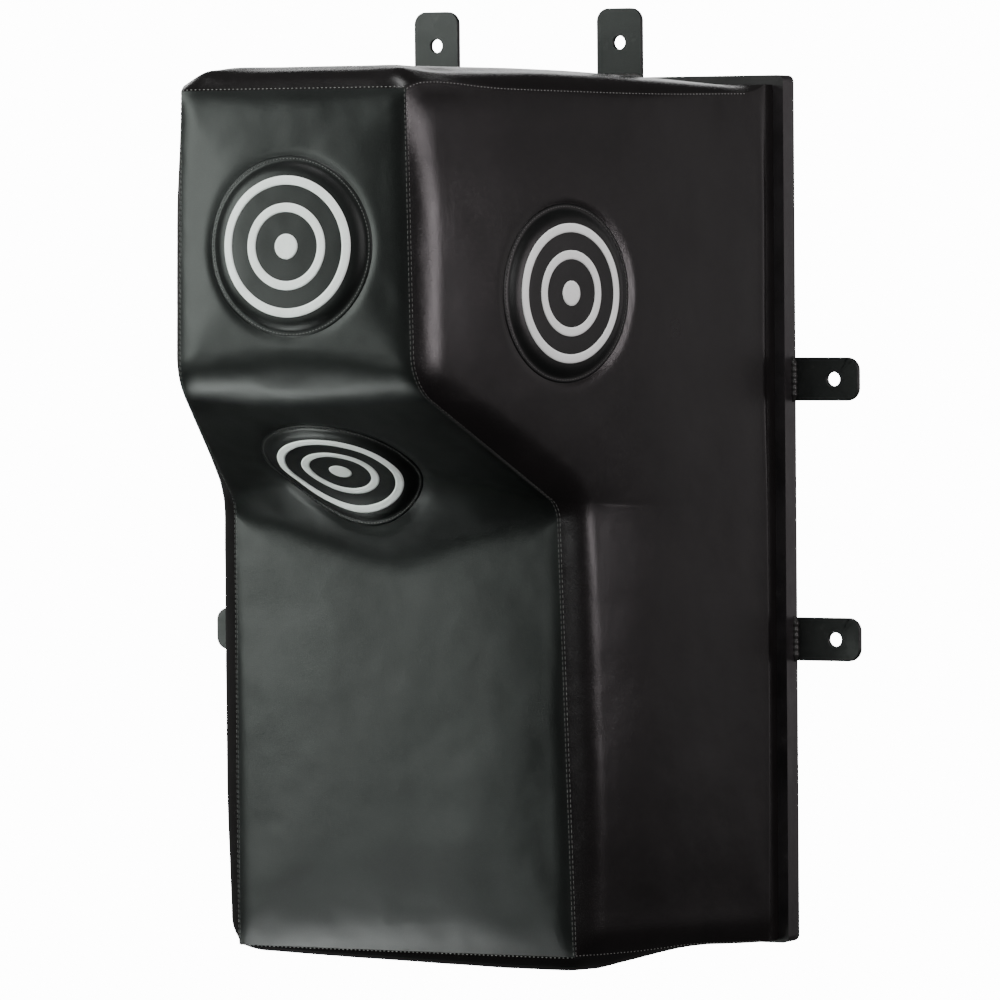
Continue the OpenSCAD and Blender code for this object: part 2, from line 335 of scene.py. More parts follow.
def vinyl(name, dark, light, roughness, grain=1.0):
    """Coated synthetic leather: fine pebble grain, soft mottle, faint scuffs."""
    paint = Paint(name, mix_colour(dark, light), roughness, specular=0.26)
    mottle = paint.noise(16, 4, 0.55)
    speckle = paint.noise(900, 2, 0.6)
    colour = paint.blend(paint.span(mottle, 0, 1), dark, light)
    worn = tuple(1.5 * c + 0.002 for c in light)
    colour = paint.blend(paint.span(speckle, 0, 0.55, 0.5, 0.75), colour, worn)
    paint.link(colour, "Base Color")
    uneven = 0.015
    paint.link(paint.span(mottle, roughness - uneven, roughness + uneven, 0.2, 0.8), "Roughness")
    paint.bump(paint.noise(38, 3, 0.5), 0.9 * MM, 0.35)
    paint.bump(paint.cells(780), 0.16 * MM, 0.55 * grain)
    paint.bump(paint.noise(2300, 2, 0.6), 0.07 * MM, 0.5 * grain)
    return paint.material


def powder_coat(name, dark, light, roughness):
    """Black powder coat on steel: orange peel, dust in patches, a few scuffs."""
    paint = Paint(name, mix_colour(dark, light), roughness, specular=0.32)
    cloud = paint.noise(22, 4, 0.6)
    scratch = paint.noise(60, 5, 0.65, paint.stretched((1, 14, 1), (0.4, 0.2, 0.7)))
    colour = paint.blend(paint.span(cloud, 0, 1), dark, light)
    dust = tuple(2.2 * c + 0.015 for c in light)
    colour = paint.blend(paint.span(scratch, 0, 0.5, 0.62, 0.75), colour, dust)
    paint.link(colour, "Base Color")
    paint.link(paint.span(cloud, roughness - 0.06, roughness + 0.08), "Roughness")
    paint.bump(paint.noise(520, 2, 0.5), 0.12 * MM, 0.5)
    paint.bump(paint.noise(70, 2, 0.5), 0.2 * MM, 0.3)
    return paint.material


def plated_steel(name):
    """Zinc-plated steel with a blotchy bright finish."""
    paint = Paint(name, (0.62, 0.62, 0.64), 0.32, metallic=1.0)
    blotch = paint.noise(240, 4, 0.6)
    paint.link(paint.blend(paint.span(blotch, 0, 1), (0.5, 0.5, 0.5), (0.72, 0.71, 0.68)), "Base Color")
    paint.link(paint.span(blotch, 0.25, 0.45), "Roughness")
    paint.bump(paint.noise(1600, 2, 0.5), 0.05 * MM, 0.4)
    return paint.material


def plywood(name):
    """Birch plywood: long grain up the board, darker growth lines, pores."""
    paint = Paint(name, (0.42, 0.3, 0.18), 0.62, specular=0.3)
    along = paint.stretched((1, 1, 0.06))
    figure = paint.noise(26, 6, 0.6, along)
    pores = paint.noise(700, 3, 0.6, paint.stretched((1, 1, 0.03)))
    plies = paint.noise(180, 1, 0.4, paint.stretched((0.02, 1.4, 0.02)))
    colour = paint.ramp(figure, (
        (0.3, (0.30, 0.19, 0.10)), (0.5, (0.46, 0.33, 0.20)), (0.7, (0.56, 0.43, 0.28)),
    ))
    colour = paint.blend(paint.span(pores, 0, 0.6, 0.52, 0.7), colour, (0.22, 0.14, 0.08))
    colour = paint.blend(paint.span(plies, 0, 0.3), colour, (0.25, 0.16, 0.09))
    paint.link(colour, "Base Color")
    paint.link(paint.span(figure, 0.55, 0.72), "Roughness")
    paint.bump(pores, 0.15 * MM, 0.5)
    return paint.material


def open_foam(name, dark, light):
    """Cut foam: open cells of two sizes and uneven colour."""
    paint = Paint(name, mix_colour(dark, light), 0.9, specular=0.2)
    cells = paint.cells(420)
    paint.link(paint.blend(paint.span(cells, 0, 1, 0.02, 0.2), dark, light), "Base Color")
    paint.bump(cells, 0.8 * MM, 0.8)
    paint.bump(paint.noise(60, 4, 0.6), 1.5 * MM, 0.4)
    return paint.material


def thread(name, dark, light):
    """Twisted polyester thread."""
    paint = Paint(name, mix_colour(dark, light), 0.55)
    twist = paint.noise(1500, 2, 0.5, paint.stretched((1, 1, 2.5), (0.5, 0.6, 0)))
    paint.link(paint.blend(paint.span(twist, 0, 1), dark, light), "Base Color")
    paint.bump(twist, 0.15 * MM, 0.8)
    return paint.material


def printed_vinyl(name):
    """White vinyl rings with slight yellowing, fine grain and rubbed spots."""
    paint = Paint(name, (0.8, 0.81, 0.79), 0.42)
    stain = paint.noise(45, 4, 0.6)
    rubbed = paint.noise(420, 3, 0.7)
    colour = paint.blend(paint.span(stain, 0, 1), (0.93, 0.95, 0.94), (0.86, 0.88, 0.86))
    colour = paint.blend(paint.span(rubbed, 0, 0.5, 0.62, 0.8), colour, (0.35, 0.36, 0.36))
    paint.link(colour, "Base Color")
    paint.link(paint.span(stain, 0.36, 0.5), "Roughness")
    paint.bump(paint.cells(900), 0.1 * MM, 0.4)
    return paint.material


def floor_finish(name):
    """Plain pale floor with a very faint unevenness."""
    paint = Paint(name, (0.86, 0.86, 0.85), 0.7, specular=0.25)
    haze = paint.noise(1.5, 3, 0.5)
    paint.link(paint.blend(paint.span(haze, 0, 1), (0.86, 0.86, 0.85), (0.89, 0.89, 0.885)), "Base Color")
    paint.bump(paint.noise(90, 2, 0.5), 0.3 * MM, 0.2)
    return paint.material


# One cover vinyl in two copies: the front copy's darker greenish tint and the side copy's lighter
# pinkish-brown tint are painted reflection colour of the tinted softboxes, not two dyes
FRONT_VINYL = vinyl("vinyl_front", (0.0034, 0.0040, 0.0038), (0.0058, 0.0068, 0.0064), 0.37)
SIDE_VINYL = vinyl("vinyl_side", (0.0052, 0.0045, 0.0046), (0.0076, 0.0066, 0.0067), 0.26)
PATCH_VINYL = vinyl("vinyl_patch", (0.0032, 0.0036, 0.0035), (0.0052, 0.0058, 0.0056), 0.38, 0.7)
RING_VINYL = printed_vinyl("vinyl_rings")
FRAME_PAINT = powder_coat("paint_frame", (0.010, 0.009, 0.0095), (0.020, 0.018, 0.019), 0.36)
TAB_PAINT = powder_coat("paint_tabs", (0.005, 0.0055, 0.0055), (0.011, 0.012, 0.0115), 0.38)
WELD_PAINT = powder_coat("paint_welds", (0.010, 0.010, 0.010), (0.026, 0.025, 0.024), 0.34)
ZINC = plated_steel("zinc")
WOOD = plywood("plywood")
CORE_FOAM = open_foam("foam_core", (0.30, 0.24, 0.16), (0.52, 0.44, 0.31))
SEAM_THREAD = thread("thread_grey", (0.04, 0.04, 0.04), (0.11, 0.11, 0.105))
PALE_THREAD = thread("thread_pale", (0.10, 0.10, 0.095), (0.25, 0.25, 0.24))
FLOOR = floor_finish("pale_floor")


# ---- mesh helpers ----

def add_mesh(name, points, faces, material, smooth=True):
    """A new object from points and faces, shaded smooth."""
    data = bpy.data.meshes.new(name)
    data.from_pydata([tuple(p) for p in points], [], [tuple(map(int, f)) for f in faces])
    data.materials.append(material)
    data.polygons.foreach_set("use_smooth", [smooth] * len(data.polygons))
    data.update()
    thing = bpy.data.objects.new(name, data)
    bpy.context.collection.objects.link(thing)
    return thing


def quads(index, flip=False):
    """The faces of a grid of vertex numbers."""
    a, b, c, d = index[:-1, :-1], index[1:, :-1], index[1:, 1:], index[:-1, 1:]
    corners = (a, d, c, b) if flip else (a, b, c, d)
    return np.stack([x.ravel() for x in corners], axis=1)


def tube_faces(rings, sides, first):
    """The walls and the two caps of a tube, whose vertex numbers start at first."""
    faces = []
    for ring in range(rings - 1):
        for n in range(sides):
            a = first + ring * sides + n
            b = first + ring * sides + (n + 1) % sides
            faces.append((a, b, b + sides, a + sides))
    last = first + (rings - 1) * sides
    faces.append(tuple(first + n for n in reversed(range(sides))))
    faces.append(tuple(last + n for n in range(sides)))
    return faces


def unit(vectors):
    """Vectors scaled to a length of one."""
    return vectors / np.maximum(np.linalg.norm(vectors, axis=-1, keepdims=True), 1e-12)


# ---- the cover as one sewn grid ----

# Panels whose rows and columns run so that their faces must be turned over
TURNED = ("left", "top")


def number_panels(last, deep, wide):
    """Vertex numbers of the five panels, which share the vertices on their seams."""
    front = np.arange((last + 1) * (wide + 1)).reshape(last + 1, wide + 1)
    count = front.size
    panels = {"front": front}
    for name, edge in (("left", 0), ("right", wide)):
        own = np.arange(count, count + (last + 1) * deep).reshape(last + 1, deep)
        count += own.size
        panels[name] = np.hstack([front[:, edge:edge + 1], own])
    for name, row in (("top", 0), ("bottom", last)):
        own = np.arange(count, count + deep * (wide - 1)).reshape(deep, wide - 1)
        count += own.size
        inner = np.vstack([front[row:row + 1, 1:-1], own])
        sides = [panels[side][row][:, None] for side in ("left", "right")]
        panels[name] = np.hstack([sides[0], inner, sides[1]])
    return panels, count


def all_faces(panels):
    """The faces of all five panels."""
    return np.vstack([quads(index, name in TURNED) for name, index in panels.items()])


def point_normals(points, faces):
    """The smooth outward direction at every vertex of the sewn cover."""
    a, b, c, d = (points[faces[:, n]] for n in range(4))
    across = np.cross(c - a, d - b)
    total = np.zeros_like(points)
    for n in range(4):
        np.add.at(total, faces[:, n], across)
    return unit(total)


def bend(before, corner, after, radius, count):
    """The points of an arc that rounds a corner, as (depth, z)."""
    before, corner, after = (np.array(p) for p in (before, corner, after))
    back, ahead = unit(before - corner), unit(after - corner)
    half = math.acos(np.clip(back @ ahead, -1, 1)) / 2
    centre = corner + unit(back + ahead) * radius / math.sin(half)
    start = corner + back * radius / math.tan(half)
    end = corner + ahead * radius / math.tan(half)
    turn = math.pi - 2 * half
    swing = np.linspace(0, turn, count + 1)[:, None]
    arc = (start - centre) * np.sin(turn - swing) + (end - centre) * np.sin(swing)
    return centre + arc / math.sin(turn)


def front_profile(which):
    """The front line from the top seam down to the bottom seam, as (depth, z)."""
    corners = (
        (UPPER_DEPTH, TOP_FRONT_Z), (UPPER_DEPTH, EDGE_Z),
        (FOLD_DEPTH, FOLD_Z), (HEEL_DEPTH, BOTTOM_FRONT_Z),
    )
    edge = bend(*corners[:3], EDGE_RADIUS[which], ROWS[1])
    fold = bend(*corners[1:], FOLD_RADIUS[which], ROWS[3])
    ends = [np.array(corners[0]), edge[0], edge[-1], fold[0], fold[-1], np.array(corners[3])]
    runs = [mix(ends[n], ends[n + 1], np.linspace(0, 1, ROWS[n] + 1)[:, None]) for n in (0, 2, 4)]
    return np.vstack([runs[0][:-1], edge[:-1], runs[1][:-1], fold[:-1], runs[2]])


def seam_half(profile):
    """Half the distance between the front seams, down the profile."""
    slope = np.clip((UPPER_DEPTH - profile[:, 0]) / (UPPER_DEPTH - FOLD_DEPTH), 0, 1)
    upper = np.clip((TOP_FRONT_Z - profile[:, 1]) / (TOP_FRONT_Z - EDGE_Z), 0, 1)
    lower = np.clip((FOLD_Z - profile[:, 1]) / (FOLD_Z - BOTTOM_FRONT_Z), 0, 1)
    return (
        TOP_HALF + (EDGE_HALF - TOP_HALF) * upper
        + (FOLD_HALF - EDGE_HALF) * slope + (HEEL_HALF - FOLD_HALF) * lower
    )


# How far from the top and bottom seams the side panels follow those seams' waves
WAVE_REACH = 90 * MM

# Length over which a side panel's ridges are averaged, and the stretch at its top
# and bottom where that fades out
RIDGE_SPAN = 50 * MM
RIDGE_MARGIN = 80 * MM


def end_seam_waves(back):
    """How the top's and the bottom's side seams wander up and down on their way back."""
    lifted = 6.0 * MM * bell(back, 0.07, 0.12) * rise(back, 0.05)
    sunk = 7.0 * MM * ease(back, 0.1, 0.8) * rise(1 - back, 0.06)
    bottom = 2.5 * MM * bell(back, 0.6, 0.2)
    return lifted - sunk, bottom


def level_side(panel, side, back):
    """Evens out a side panel's ridges, leaving its seams where they are."""
    slant = (BASE_HALF - TOP_HALF) / (UPPER_DEPTH - BOARD_FRONT)
    plane = BASE_HALF + (panel[..., 1] + BOARD_FRONT) * slant
    proud = side * panel[..., 0] - plane
    for column, share in enumerate(ease(back, 0, 0.12)):
        steps = np.linalg.norm(np.diff(panel[:, column], axis=0), axis=1)
        place = np.concatenate([[0], steps.cumsum()])
        near = bell(place[:, None], place, RIDGE_SPAN) * np.gradient(place)
        even = (near @ proud[:, column]) / near.sum(axis=1)
        inside = ease(np.minimum(place, place[-1] - place), 0, RIDGE_MARGIN)
        proud[:, column] = mix(proud[:, column], even, inside * share)
    panel[..., 0] = side * (plane + proud)


def flat_cover():
    """The cover's panels pulled flat between their seams, as one array of points."""
    panels, count = number_panels(LAST, DEEP, WIDE)
    points = np.zeros((count, 3))
    seam, middle = front_profile(0), front_profile(1)
    half = seam_half(seam)
    across = spread(WIDE, 0.35)
    inward = (4 * across * (1 - across))[None, :, None]
    line = seam[:, None, :] * (1 - inward) + middle[:, None, :] * inward
    x = (2 * across - 1)[None, :] * half[:, None]
    points[panels["front"]] = np.dstack([x, -line[..., 0], line[..., 1]])

    back = spread(DEEP - STRIP, 0.3)
    level = (seam[:, 1] - BOTTOM_FRONT_Z) / (TOP_FRONT_Z - BOTTOM_FRONT_Z)
    even = np.linspace(1, 0, LAST + 1)
    base_z = mix(BOTTOM_BACK_Z, TOP_BACK_Z, 0.4 * level + 0.6 * even)
    top_wave, bottom_wave = end_seam_waves(back)
    for name, side in (("left", -1), ("right", 1)):
        start = np.stack([side * half, -seam[:, 0], seam[:, 1]], axis=1)
        base_x = np.full_like(half, side * BASE_HALF)
        edge = np.stack([base_x, np.full_like(half, -BOARD_FRONT), base_z], axis=1)
        end = edge + np.array([0, BOARD_FRONT - BASE_DEPTH, 0])
        panel = mix(start[:, None, :], edge[:, None, :], back[None, :, None])
        level_side(panel, side, back)
        near_top = np.clip(1 - (TOP_FRONT_Z - seam[:, 1]) / WAVE_REACH, 0, 1) ** 2
        near_end = np.clip(1 - (seam[:, 1] - BOTTOM_FRONT_Z) / WAVE_REACH, 0, 1) ** 2
        panel[..., 2] += near_top[:, None] * top_wave + near_end[:, None] * bottom_wave
        strip = mix(edge[:, None, :], end[:, None, :], np.linspace(0, 1, STRIP + 1)[None, 1:, None])
        points[panels[name]] = np.hstack([panel, strip])
    for name, row, wave in (("top", 0, top_wave), ("bottom", LAST, bottom_wave)):
        left, right = (points[panels[side][row]] for side in ("left", "right"))
        panel = mix(left[:, None, :], right[:, None, :], across[None, :, None])
        # The wave is on the panel's sides only: its middle stays level
        whole_wave = np.concatenate([wave, np.zeros(STRIP)])
        panel[..., 2] -= whole_wave[:, None] * (1 - (2 * across - 1) ** 6)
        points[panels[name]] = panel
    return panels, points


def gap_to(points, edge):
    """How far each point of a panel lies from the matching point on one edge."""
    return np.linalg.norm(points - edge, axis=-1)


def gap_to_sides(grid):
    """How far each point of a panel lies from the nearer of its first and last column."""
    return np.minimum(gap_to(grid, grid[:, :1]), gap_to(grid, grid[:, -1:]))


def gap_to_seam(grid, seam):
    """Distance of each point of a panel from the nearest spot on a seam."""
    spots_to_a_row = 8
    rows = np.arange(len(seam))
    at = np.linspace(0, rows[-1], spots_to_a_row * len(seam))
    line = np.stack([np.interp(at, rows, seam[:, n]) for n in range(3)], axis=1)
    return np.array([np.linalg.norm(row[:, None] - line, axis=-1).min(axis=1) for row in grid])


def front_padding(grid):
    """Padding of the front panel: full on its two upright faces, thin on the slope."""
    sides = gap_to_sides(grid)
    below_top = gap_to(grid, grid[:1])
    above_end = gap_to(grid, grid[-1:])
    z = grid[..., 2]
    on_upper = ease(z, EDGE_Z - 25 * MM, EDGE_Z + 45 * MM)
    on_lower = ease(z, FOLD_Z, FOLD_Z - 220 * MM)
    full = 0.3 + 0.7 * (on_upper + on_lower)
    face = 4.5 * MM * rise(sides, 18 * MM) + 2.5 * MM * rise(sides, 110 * MM, 1.8)
    return face * full * rise(below_top, 26 * MM) * rise(above_end, 42 * MM)


def side_padding(grid, below_fold):
    """Padding of a side panel: a roll along its front seam that sinks towards the frame."""
    seam = gap_to_seam(grid, grid[:, 0])
    base = gap_to(grid, grid[:, -1 - STRIP:-STRIP])
    base[:, -STRIP:] = 0
    below_top = TOP_FRONT_Z - grid[..., 2]
    above_end = grid[..., 2] - BOTTOM_FRONT_Z
    roll = (7.0 + 6.0 * below_fold)[:, None] * MM * rise(seam, 33 * MM, 2.0)
    crown = 2.0 * MM * rise(seam, 150 * MM, 1.8)
    full_top = 0.4 + 0.6 * ease(below_top, 0, 110 * MM)
    full_end = 0.75 + 0.25 * ease(above_end, 0, 160 * MM)
    near_base = 0.35 * rise(base, 5 * MM) + 0.65 * ease(base, 0, 190 * MM)
    padded = (roll + crown) * (full_top * full_end) * near_base
    return padded * rise(below_top, 30 * MM) * rise(above_end, 24 * MM)


def end_padding(name, grid):
    """Padding of the top or the bottom: a dome that sinks towards the frame."""
    ahead = gap_to(grid, grid[:1])
    behind = gap_to(grid, grid[-1 - STRIP:-STRIP])
    behind[-STRIP:] = 0
    if name == "top":
        dome = 13.5 * MM * (0.2 + 0.8 * rise(behind, 260 * MM, 1.5))
        tall = dome + 6.0 * MM * np.exp(-ahead / (90 * MM))
    else:
        full = 0.08 + 0.92 * np.clip((behind - 70 * MM) / (120 * MM), 0, 1) ** 1.2
        from_left = np.clip((grid[..., 0] + HEEL_HALF) / (260 * MM), 0, 1)
        tall = 14.5 * MM * full * (0.5 + 0.5 * from_left)
    return tall * rise(ahead, 28 * MM) * rise(gap_to_sides(grid), 28 * MM) * rise(behind, 30 * MM)


def pad_out(panels, points):
    """Lifts every panel off the flat by its padding."""
    padded = points.copy()
    seam = front_profile(0)
    below_fold = ease(seam[:, 1], EDGE_Z + 20 * MM, FOLD_Z - 60 * MM)
    for name, index in panels.items():
        grid = points[index]
        down, over = np.gradient(grid, axis=0), np.gradient(grid, axis=1)
        outward = unit(np.cross(down, over)) * (-1 if name in TURNED else 1)
        if name == "front":
            lift = front_padding(grid)
        elif name in ("left", "right"):
            lift = side_padding(grid, below_fold)
        else:
            lift = end_padding(name, grid)
        lifted = padded[index] + outward * lift[..., None]
        lifted[[0, -1]] = grid[[0, -1]]
        lifted[:, [0, -1]] = grid[:, [0, -1]]
        padded[index] = lifted
    return padded


def sewn_down(panels):
    """The vertices on the seams and on the frame, which the padding can't lift."""
    held = set()
    for index in panels.values():
        for edge in (index[0], index[-1], index[:, 0], index[:, -1]):
            held.update(int(n) for n in edge)
    return sorted(held)


# The cloth simulation's frames, and how far a point may move
CLOTH_FRAMES = 20
SWELL_LIMIT = 4 * MM

# Smoothing passes over each panel's swelling, and the share of it that the sides keep
IRON_PASSES = {"front": 4, "left": 14, "right": 14, "top": 5, "bottom": 5}
SIDE_SWELL = 0.3


def inflate(points, faces, held):
    """How far pressure moves each point of the cover, by cloth simulation."""
    body = add_mesh("cover_cloth", points, faces, SIDE_VINYL)
    group = body.vertex_groups.new(name="held")
    group.add(held, 1.0, "REPLACE")
    cloth = body.modifiers.new("cloth", "CLOTH")
    settings = cloth.settings
    settings.quality = 6
    settings.mass = 0.4
    settings.tension_stiffness = 60
    settings.compression_stiffness = 60
    settings.shear_stiffness = 30
    settings.bending_stiffness = 6
    settings.use_pressure = True
    settings.uniform_pressure_force = 3
    settings.vertex_group_mass = "held"
    settings.effector_weights.gravity = 0
    cloth.point_cache.frame_start = 1
    cloth.point_cache.frame_end = CLOTH_FRAMES
    scene = bpy.context.scene
    for step in range(1, CLOTH_FRAMES + 1):
        scene.frame_set(step)
    shown = body.evaluated_get(bpy.context.evaluated_depsgraph_get())
    swollen = np.empty(len(points) * 3)
    shown.data.vertices.foreach_get("co", swollen)
    move = swollen.reshape(-1, 3) - points
    far = np.linalg.norm(move, axis=1, keepdims=True)
    move *= np.minimum(1, SWELL_LIMIT / np.maximum(far, 1e-9))
    scene.frame_set(1)
    bpy.data.objects.remove(body)
    return move


def iron(panels, move):
    """Smooths the swelling, most of all on the side panels, which keep little of it."""
    ironed = move.copy()
    for name, index in panels.items():
        grid = move[index] * (SIDE_SWELL if name in ("left", "right") else 1)
        for _ in range(IRON_PASSES[name]):
            around = grid[:-2, 1:-1] + grid[2:, 1:-1] + grid[1:-1, :-2] + grid[1:-1, 2:]
            grid[1:-1, 1:-1] = 0.4 * grid[1:-1, 1:-1] + 0.15 * around
        ironed[index] = grid
    return ironed


def halfway(grid):
    """Doubles a grid's rows by a smooth curve through the rows it has."""
    padded = np.concatenate([2 * grid[:1] - grid[1:2], grid, 2 * grid[-1:] - grid[-2:-1]])
    between = (9 * (padded[1:-2] + padded[2:-1]) - padded[:-3] - padded[3:]) / 16
    fine = np.empty((2 * len(grid) - 1, *grid.shape[1:]))
    fine[::2], fine[1::2] = grid, between
    return fine


def refine(panels, points):
    """The same cover with twice as many rows and columns in each panel."""
    fine_panels, count = number_panels(2 * LAST, 2 * DEEP, 2 * WIDE)
    fine = np.zeros((count, 3))
    for name, index in panels.items():
        rows = halfway(points[index])
        fine[fine_panels[name]] = halfway(rows.swapaxes(0, 1)).swapaxes(0, 1)
    return fine_panels, fine


# ---- target patches: where they are sewn ----

class Target:
    """A round patch: its centre on the pad, its outward direction and its size."""

    def __init__(self, side):
        low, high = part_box("patch_" + side)
        self.side = side
        self.centre = np.array((low + high) / 2)
        self.panel = "front" if side == "slope" else side
        self.radius = (high.x - low.x if side == "slope" else high.z - low.z) / 2
        self.outward = unit(np.array({
            "front": (0, -1, 0),
            "slope": (0, FOLD_Z - EDGE_Z, FOLD_DEPTH - UPPER_DEPTH),
            "left": (BASE_DEPTH - UPPER_DEPTH, TOP_HALF - BASE_HALF, 0),
            "right": (UPPER_DEPTH - BASE_DEPTH, TOP_HALF - BASE_HALF, 0),
        }[side], float))
        self.level = unit(np.cross((0, 0, 1), self.outward))
        self.upright = np.cross(self.outward, self.level)

    def distance(self, points):
        """Distance of points from the patch's centre, along its own plane."""
        offset = points - self.centre
        return np.hypot(offset @ self.level, offset @ self.upright)


TARGETS = [Target(side) for side in ("front", "slope", "left", "right")]


# ---- fine shape of the cover ----

def noise_field(points, scale, seed):
    """Smooth noise from -1 to 1 at every point."""
    shift = Vector((seed * 3.1, seed * 1.7, seed * 2.3))
    values = [noise.noise(Vector(p) * scale + shift) for p in points.reshape(-1, 3)]
    return np.array(values).reshape(points.shape[:-1])


def seam_gap(grid):
    """Distance of each point from the nearest edge of its panel."""
    edges = (grid[:1], grid[-1:], grid[:, :1], grid[:, -1:])
    return np.min([gap_to(grid, edge) for edge in edges], axis=0)


def fine_relief(name, grid):
    """Small lifts and dips on a panel: dimples, puckers and patch channels."""
    gap = seam_gap(grid)
    clear = rise(gap, 25 * MM, 2)
    depth = 1.0 if name == "front" else 0.35
    dimples = 0.8 * MM * depth * noise_field(grid * np.array([1, 1, 1.3]), 17, 2) * clear
    ripples = 0.24 * MM * depth * noise_field(grid, 52, 5) * clear
    puckers = 0.35 * MM * noise_field(grid, 78, 9) * np.exp(-gap / (9 * MM)) * rise(gap, 5 * MM, 2)
    relief = dimples + ripples + puckers
    for target in TARGETS:
        if target.panel == name:
            near = np.abs((grid - target.centre) @ target.outward) < 60 * MM
            channel = bell(target.distance(grid) - target.radius, -3 * MM, 5.5 * MM)
            relief -= np.where(near, 2.6 * MM * channel, 0)
    return relief


def shape_finely(panels, points):
    """Adds the small relief to the whole cover, leaving the seams where they are."""
    outward = point_normals(points, all_faces(panels))
    shaped = points.copy()
    for name, index in panels.items():
        grid = points[index]
        relief = fine_relief(name, grid)
        relief[[0, -1]] = 0
        relief[:, [0, -1]] = 0
        shaped[index] = grid + outward[index] * relief[..., None]
    return shaped


# ---- the padded pieces ----

PAD_THICKNESS = 9 * MM

# Steps of the skin's grid to one step of the inner face's
COARSE = 4

# Each pad's name, material slot, fill and the CAD nodes that it replaces
PADS = {
    "front": ("pad_front", "vinyl_front", 0.75, (
        "cover_front", "face_foam_upper", "face_foam_slope", "face_foam_lower")),
    "left": ("pad_side_left", "vinyl_side", 0.7, ("cover_side_left", "side_foam_left")),
    "right": ("pad_side_right", "vinyl_side", 0.7, ("cover_side_right", "side_foam_right")),
    "top": ("pad_top", "vinyl_side", 0.65, ("cover_top", "top_foam")),
    "bottom": ("pad_bottom", "vinyl_side", 0.65, ("cover_bottom", "bottom_foam")),
}


def rim_faces(outer, inner, step):
    """The wall between an outer edge and a coarser inner edge, one face a step."""
    walls = []
    for n in range(len(inner) - 1):
        stretch = outer[n * step:(n + 1) * step + 1]
        walls.append([*stretch[::-1], inner[n], inner[n + 1]])
    return walls


def rims(index):
    """The four edges of a grid of vertex numbers, all running the same way round."""
    return index[0], index[-1][::-1], index[:, 0][::-1], index[:, -1]


def add_pad(name, index, points, outward):
    """One padded panel as a closed form: crowned skin, mitred walls, inner face."""
    grid = points[index]
    # On the board's edge there is no padding, only the cover
    ahead_of_board = np.clip((-points[:, 1:2] - BOARD_FRONT) / (40 * MM), 0, 1)
    thick = mix(0.9 * COVER, PAD_THICKNESS, ahead_of_board)
    inner = (points - outward * thick)[index[::COARSE, ::COARSE]]
    outer_no = np.arange(index.size).reshape(index.shape)
    inner_no = index.size + np.arange(inner.shape[0] * inner.shape[1]).reshape(inner.shape[:2])
    turned = name in TURNED
    faces = [*quads(outer_no, turned), *quads(inner_no, not turned)]
    for outer_rim, inner_rim in zip(rims(outer_no), rims(inner_no)):
        walls = rim_faces(outer_rim, inner_rim, COARSE)
        faces += walls if turned else [wall[::-1] for wall in walls]
    title, slot, fill, nodes = PADS[name]
    # The front takes the copy with the painted greenish reflection tint, the other panels the copy with the
    # painted pinkish-brown one
    material = FRONT_VINYL if name == "front" else SIDE_VINYL
    pad = add_mesh(title, np.vstack([grid.reshape(-1, 3), inner.reshape(-1, 3)]), faces, material)
    # Keeps the shading of the skin apart from the hidden walls
    pad.data.set_sharp_from_angle(angle=math.radians(50))
    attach(pad, "root")
    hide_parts(*nodes)


# ---- stitches ----

# Rows of stitches, as pitch, length and thickness
SEAM_STITCH = (4.6 * MM, 3.6 * MM, 0.6 * MM)
END_STITCH = (4.2 * MM, 1.9 * MM, 0.9 * MM)
PATCH_STITCH = (3.3 * MM, 2.3 * MM, 0.8 * MM)

# A stitch's cross-sections: place along it, thickness and lift
STITCH_RINGS = (
    (-0.5, 0.5, -0.5), (-0.36, 0.9, -0.1), (0, 1.0, 0.1), (0.36, 0.9, -0.1), (0.5, 0.5, -0.5),
)
STITCH_SIDES = 6

# How far the seams' stitches lie from the seam, and how many columns of the top's
# and the bottom's side seams carry none, next to the frame
SEAM_INSET = 1.3 * MM
UNSTITCHED = 16


def stitch_form():
    """The points of one stitch along X, a short arched capsule."""
    points = []
    for along, thick, lift in STITCH_RINGS:
        for n in range(STITCH_SIDES):
            turn = 2 * math.pi * n / STITCH_SIDES
            points.append((along, 0.5 * thick * math.cos(turn), 0.5 * thick * math.sin(turn) + lift))
    return np.array(points)


def add_stitches(name, line, outward, stitch, material):
    """A row of stitches along a line of points that lies on the cover."""
    pitch, length, thick = stitch
    steps = np.linalg.norm(np.diff(line, axis=0), axis=1)
    travelled = np.concatenate([[0], np.cumsum(steps)])
    places = np.arange(pitch / 2, travelled[-1], pitch)

    def along(values, at):
        return np.stack([np.interp(at, travelled, values[:, n]) for n in range(3)], axis=1)

    centre = along(line, places)
    forward = unit(along(line, places + pitch / 3) - along(line, places - pitch / 3))
    up = along(outward, places)
    up = unit(up - forward * np.sum(up * forward, axis=1, keepdims=True))
    side = np.cross(up, forward)
    form = stitch_form()
    points = (
        centre[:, None] + form[None, :, :1] * forward[:, None] * length
        + (form[None, :, 1:2] * side[:, None] + form[None, :, 2:] * up[:, None]) * thick
    )
    faces = []
    for n in range(len(places)):
        faces += tube_faces(len(STITCH_RINGS), STITCH_SIDES, n * len(form))
    row = add_mesh(name, points.reshape(-1, 3), faces, material)
    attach(row, "root")


def beside(points, outward, index, away):
    """A line that runs a set distance in from a panel's first column, and its directions."""
    grid = points[index]
    travelled = np.linalg.norm(np.diff(grid, axis=1), axis=2).cumsum(axis=1)
    travelled = np.hstack([np.zeros((len(grid), 1)), travelled])

    def inset(values):
        return np.array([
            [np.interp(away, travelled[row], values[row, :, n]) for n in range(3)]
            for row in range(len(grid))
        ])

    return inset(grid), unit(inset(outward[index]))


